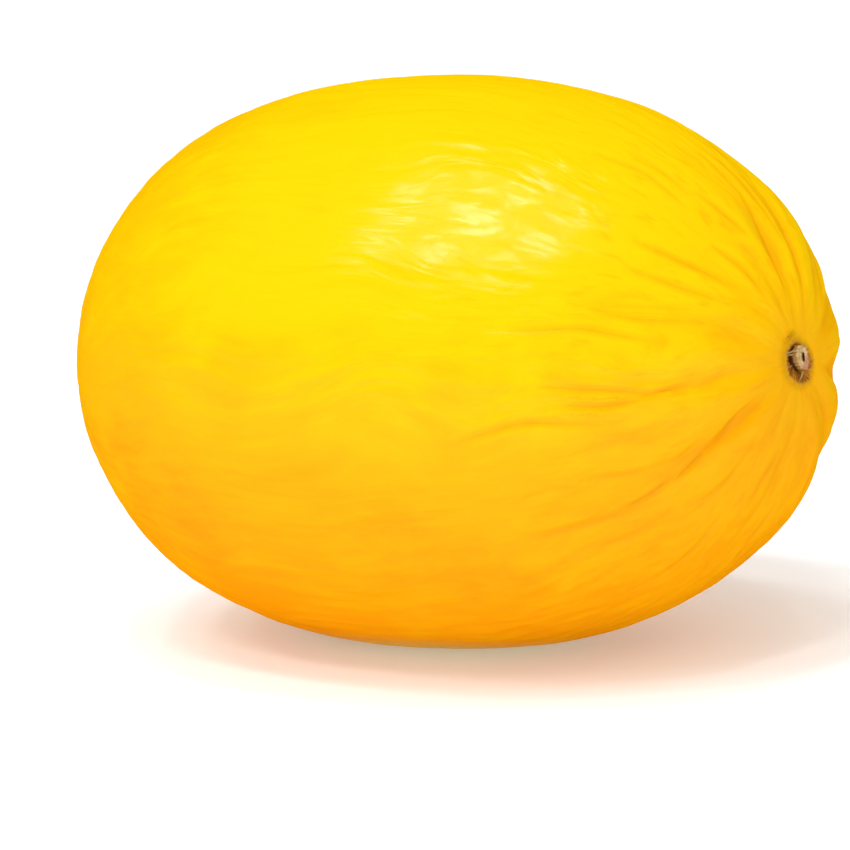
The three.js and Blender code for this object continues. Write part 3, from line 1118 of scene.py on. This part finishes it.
        # Painted shade: darker low on the stub's wall, round the bore's mouth and all through the bore.
        low = 0.9 * (1 - ease(up + 0.35 * strands, 1.3, 3.0))
        low = np.maximum(low, 0.45 * inner)
        shelter = np.where(in_bore, 0.9, low)
        bark = outer * (1 - ease(up / self.height_mm + 0.12 * strands, 0.72, 0.92))
        first_face = first_bore - self.face_rows
        face = ease(row, first_face - 2, first_face + 2)[:, None] * ~in_bore[:, None]
        along_face = np.stack([x * 1.5 + 9.0, y * 0.32, 0.1 * up], axis=1)
        fibre = fibre * (1 - face) + along_face * face
        self._dress(piece, fibre, shelter, bark, ease(0.7 * (x - y), 0.2, 1.7))
        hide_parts("stem_stub")
        return piece

    def loose_fibres(self) -> bpy.types.Object:
        """Builds and dresses the fibres that run from the stub to the edge of the scar."""
        grid = RingGrid(0, [Ring(i, self.fibre_sides) for i in range(1, self.fibre_steps)], self.fibre_steps)
        share = grid.places / self.fibre_steps
        turn = np.radians(grid.turns)
        points, faces, fibres = [], [], []
        for i, fibre in enumerate(self.fibres):
            start, bend, end = (np.array(p) for p in (fibre.start, fibre.bend, fibre.end))
            s = share[:, None]
            path = start * (1 - s) ** 2 + 2 * bend * s * (1 - s) + end * s**2
            along = 2 * (1 - s) * (bend - start) + 2 * s * (end - bend)
            along = along / np.linalg.norm(along, axis=1, keepdims=True)
            side = np.cross(along, [0.0, 0.0, 1.0])
            side = side / np.linalg.norm(side, axis=1, keepdims=True)
            rise = np.cross(side, along)
            along_it = np.stack([share * 5, share * 0, share * 0 + i], axis=1)
            kinks = GradientNoise(self.seed + 10 + i).at(along_it)
            knots = GradientNoise(self.seed + 30 + i).at(rolled(1.0, turn, share * 4))
            round_off = np.sqrt(np.clip(1 - (2 * share - 1) ** 8, 0, 1))
            thickness = fibre.thick_mm + (fibre.thin_mm - fibre.thick_mm) * share
            half = thickness * round_off * (1 + 0.35 * knots)
            offset = (half * np.cos(turn) * 1.2 + 0.16 * kinks)[:, None] * side
            offset += (half * np.sin(turn) * 0.75)[:, None] * rise
            base = sum(len(p) for p in points)
            points.append(path + offset)
            faces += [tuple(base + corner for corner in face) for face in grid.faces()]
            fibres.append(rolled(2.0, turn, share * 1.5) + (i, 0, 0))
        stacked = np.concatenate(points)
        piece = mesh_object("scar_fibres", stacked * MM, faces)
        # Painted shade: the fibres darker low down, near the rind.
        shelter = 0.45 * (1 - ease(stacked[:, 2], 1.3, 2.1))
        tan, pinkish = np.full(len(stacked), 0.55), np.full(len(stacked), 0.35)
        self._dress(piece, np.concatenate(fibres), shelter, tan, pinkish)
        return piece

    def _dress(
        self,
        piece: bpy.types.Object,
        fibre: np.ndarray,
        shelter: np.ndarray,
        bark: np.ndarray,
        flush: np.ndarray,
    ) -> None:
        """Stores what the dry stem's material reads, and seats and dresses a piece.

        Args:
            piece: the piece, still in the stub's own frame.
            fibre: coordinates that run along its fibres.
            shelter: painted shade, from 0 in the open to 1 deep inside.
            bark: from 0 on broken wood to 1 on the outside of the stalk.
            flush: from 0 on cream wood to 1 on pink wood.
        """
        give_values(piece, fibre=fibre, shelter=shelter, bark=bark, flush=flush)
        piece.data.transform(self._seat())
        piece.data.materials.append(self.finish.material())
        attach(piece, "root")
        log.info("%s: %d points", piece.name, len(piece.data.vertices))


@dataclass
class Studio:
    """Pale floor, soft overhead light, white surroundings and the camera."""

    azimuth: float = 35.8
    elevation: float = 10.0
    roll: float = -3.9
    distance: float = 1.0
    lens_mm: float = 164.0
    sensor_mm: float = 36.0
    aim_right: float = -0.0060
    aim_up: float = -0.0162
    key: float = 1.9
    lamp_spread: float = 6.0
    row_gap: float = 11.0
    column_gap: float = 12.0
    ceiling: float = 0.3
    wall: float = 1.3
    far_wall: float = 0.5
    room_glow: float = 0.36
    floor_gap: float = 0.0001
    floor_finish: FloorFinish = field(default_factory=FloorFinish)

    def camera(self, centre: Vector) -> bpy.types.Object:
        """Places the camera on the fruit's stem-end side, a little above it.

        Args:
            centre: the fruit's middle.

        Returns:
            The camera, set as the scene's.
        """
        turn, rise = math.radians(self.azimuth), math.radians(self.elevation)
        back = Vector((math.sin(turn) * math.cos(rise), -math.cos(turn) * math.cos(rise), math.sin(rise)))
        right = Vector((math.cos(turn), math.sin(turn), 0.0))
        up = back.cross(right)
        roll = math.radians(self.roll)
        tilted_right = right * math.cos(roll) + up * math.sin(roll)
        tilted_up = up * math.cos(roll) - right * math.sin(roll)
        place = centre + back * self.distance
        aim = centre + tilted_right * self.aim_right + tilted_up * self.aim_up
        back = (place - aim).normalized()
        tilted_right = tilted_up.cross(back).normalized()
        tilted_up = back.cross(tilted_right)
        data = bpy.data.cameras.new("camera")
        data.lens = self.lens_mm
        data.sensor_width = self.sensor_mm
        camera = bpy.data.objects.new("camera", data)
        faced = Matrix((tilted_right, tilted_up, back)).transposed().to_4x4()
        camera.matrix_world = Matrix.Translation(place) @ faced
        bpy.context.scene.collection.objects.link(camera)
        bpy.context.scene.camera = camera
        return camera

    def soft_light(
        self, name: str, toward: Place, spread: float, strength: float, mirrored: bool
    ) -> None:
        """Adds a distant soft light, a round patch of the room's ceiling or wall.

        Args:
            name: the light's name.
            toward: the direction from the fruit to the light.
            spread: how many degrees across it looks from the fruit.
            strength: how brightly it lights a surface that faces it.
            mirrored: whether it shows in glossy reflections.
        """
        data = bpy.data.lights.new(name, "SUN")
        data.angle = math.radians(spread)
        data.energy = strength
        data.cycles.use_multiple_importance_sampling = mirrored
        light = bpy.data.objects.new(name, data)
        light.rotation_euler = Vector(toward).to_track_quat("Z", "Y").to_euler()
        light.visible_glossy = mirrored
        bpy.context.scene.collection.objects.link(light)

    def softbox(self) -> None:
        """Hangs the overhead softbox, a bank of nine round lamps, strongest in the middle."""
        middle = Vector((-0.056, -0.361, 0.931)).normalized()
        side = Vector((math.cos(math.radians(self.azimuth)), math.sin(math.radians(self.azimuth)), 0.0))
        places = [(row, column) for row in range(-2, 3) for column in range(-2, 3) if (row + column) % 2 == 0]
        places = [(row, column) for row, column in places if abs(row) + abs(column) <= 2]
        weights = [math.exp(-(row**2 + column**2) / 5.0) for row, column in places]
        across = middle.cross(side).normalized()
        for (row, column), weight in zip(places, weights):
            turned = Matrix.Rotation(math.radians(self.row_gap * row), 3, side) @ middle
            turned = Matrix.Rotation(math.radians(self.column_gap * column), 3, across) @ turned
            share = self.key * weight / sum(weights)
            name = f"softbox_lamp_{row + 3}{column + 3}"
            self.soft_light(name, tuple(turned), self.lamp_spread, share, True)

    def surroundings(self) -> None:
        """Surrounds everything with a dim, even room, which looks white behind the fruit."""
        world = bpy.data.worlds.new("white_room")
        world.use_nodes = True
        background = world.node_tree.nodes["Background"]
        background.inputs["Color"].default_value = (1.0, 1.0, 1.0, 1.0)
        links, nodes = world.node_tree.links, world.node_tree.nodes
        seen = nodes.new("ShaderNodeLightPath").outputs["Is Camera Ray"]
        strength = nodes.new("ShaderNodeMapRange")
        links.new(seen, strength.inputs["Value"])
        strength.inputs["To Min"].default_value = self.room_glow
        strength.inputs["To Max"].default_value = 1.0
        links.new(strength.outputs["Result"], background.inputs["Strength"])
        world.cycles_visibility.glossy = False
        bpy.context.scene.world = world

    def floor(self) -> bpy.types.Object:
        """Lays the floor, a wide disc just under the fruit."""
        grid = RingGrid(0.0, [Ring(r, 96) for r in (0.3, 0.8, 1.6, 3.0, 6.0, 12.0, 20.0)], 0.0)
        points = rolled(grid.places, np.radians(grid.turns), np.full(len(grid.places), -self.floor_gap))[:-1]
        faces = [face for face in grid.faces() if len(points) not in face]
        piece = mesh_object("studio_floor", points, faces)
        piece.data.materials.append(self.floor_finish.material())
        piece.visible_glossy = False
        return piece

    def build(self, centre: Vector) -> None:
        """Builds the whole studio round the fruit's middle."""
        self.camera(centre)
        self.surroundings()
        self.softbox()
        self.soft_light("white_ceiling", (0.0, 0.0, 1.0), 170.0, self.ceiling, False)
        self.soft_light("white_wall", (0.45, -0.8, 0.35), 110.0, self.wall, False)
        self.soft_light("far_wall", (-0.5, 0.8, 0.3), 110.0, self.far_wall, False)
        self.floor()
        view = bpy.context.scene.view_settings
        view.view_transform = "Standard"
        view.look = "None"
        log.info("studio built")


def main() -> None:
    """Builds the fruit, its stub and the studio."""
    logging.basicConfig(level=logging.INFO, format="%(name)s: %(message)s")
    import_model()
    fruit = MelonFruit()
    Studio().build(fruit.centre())
    fruit.build()
    stalk = StemStub()
    stalk.stub()
    stalk.loose_fibres()


if __name__ == "__main__":
    main()
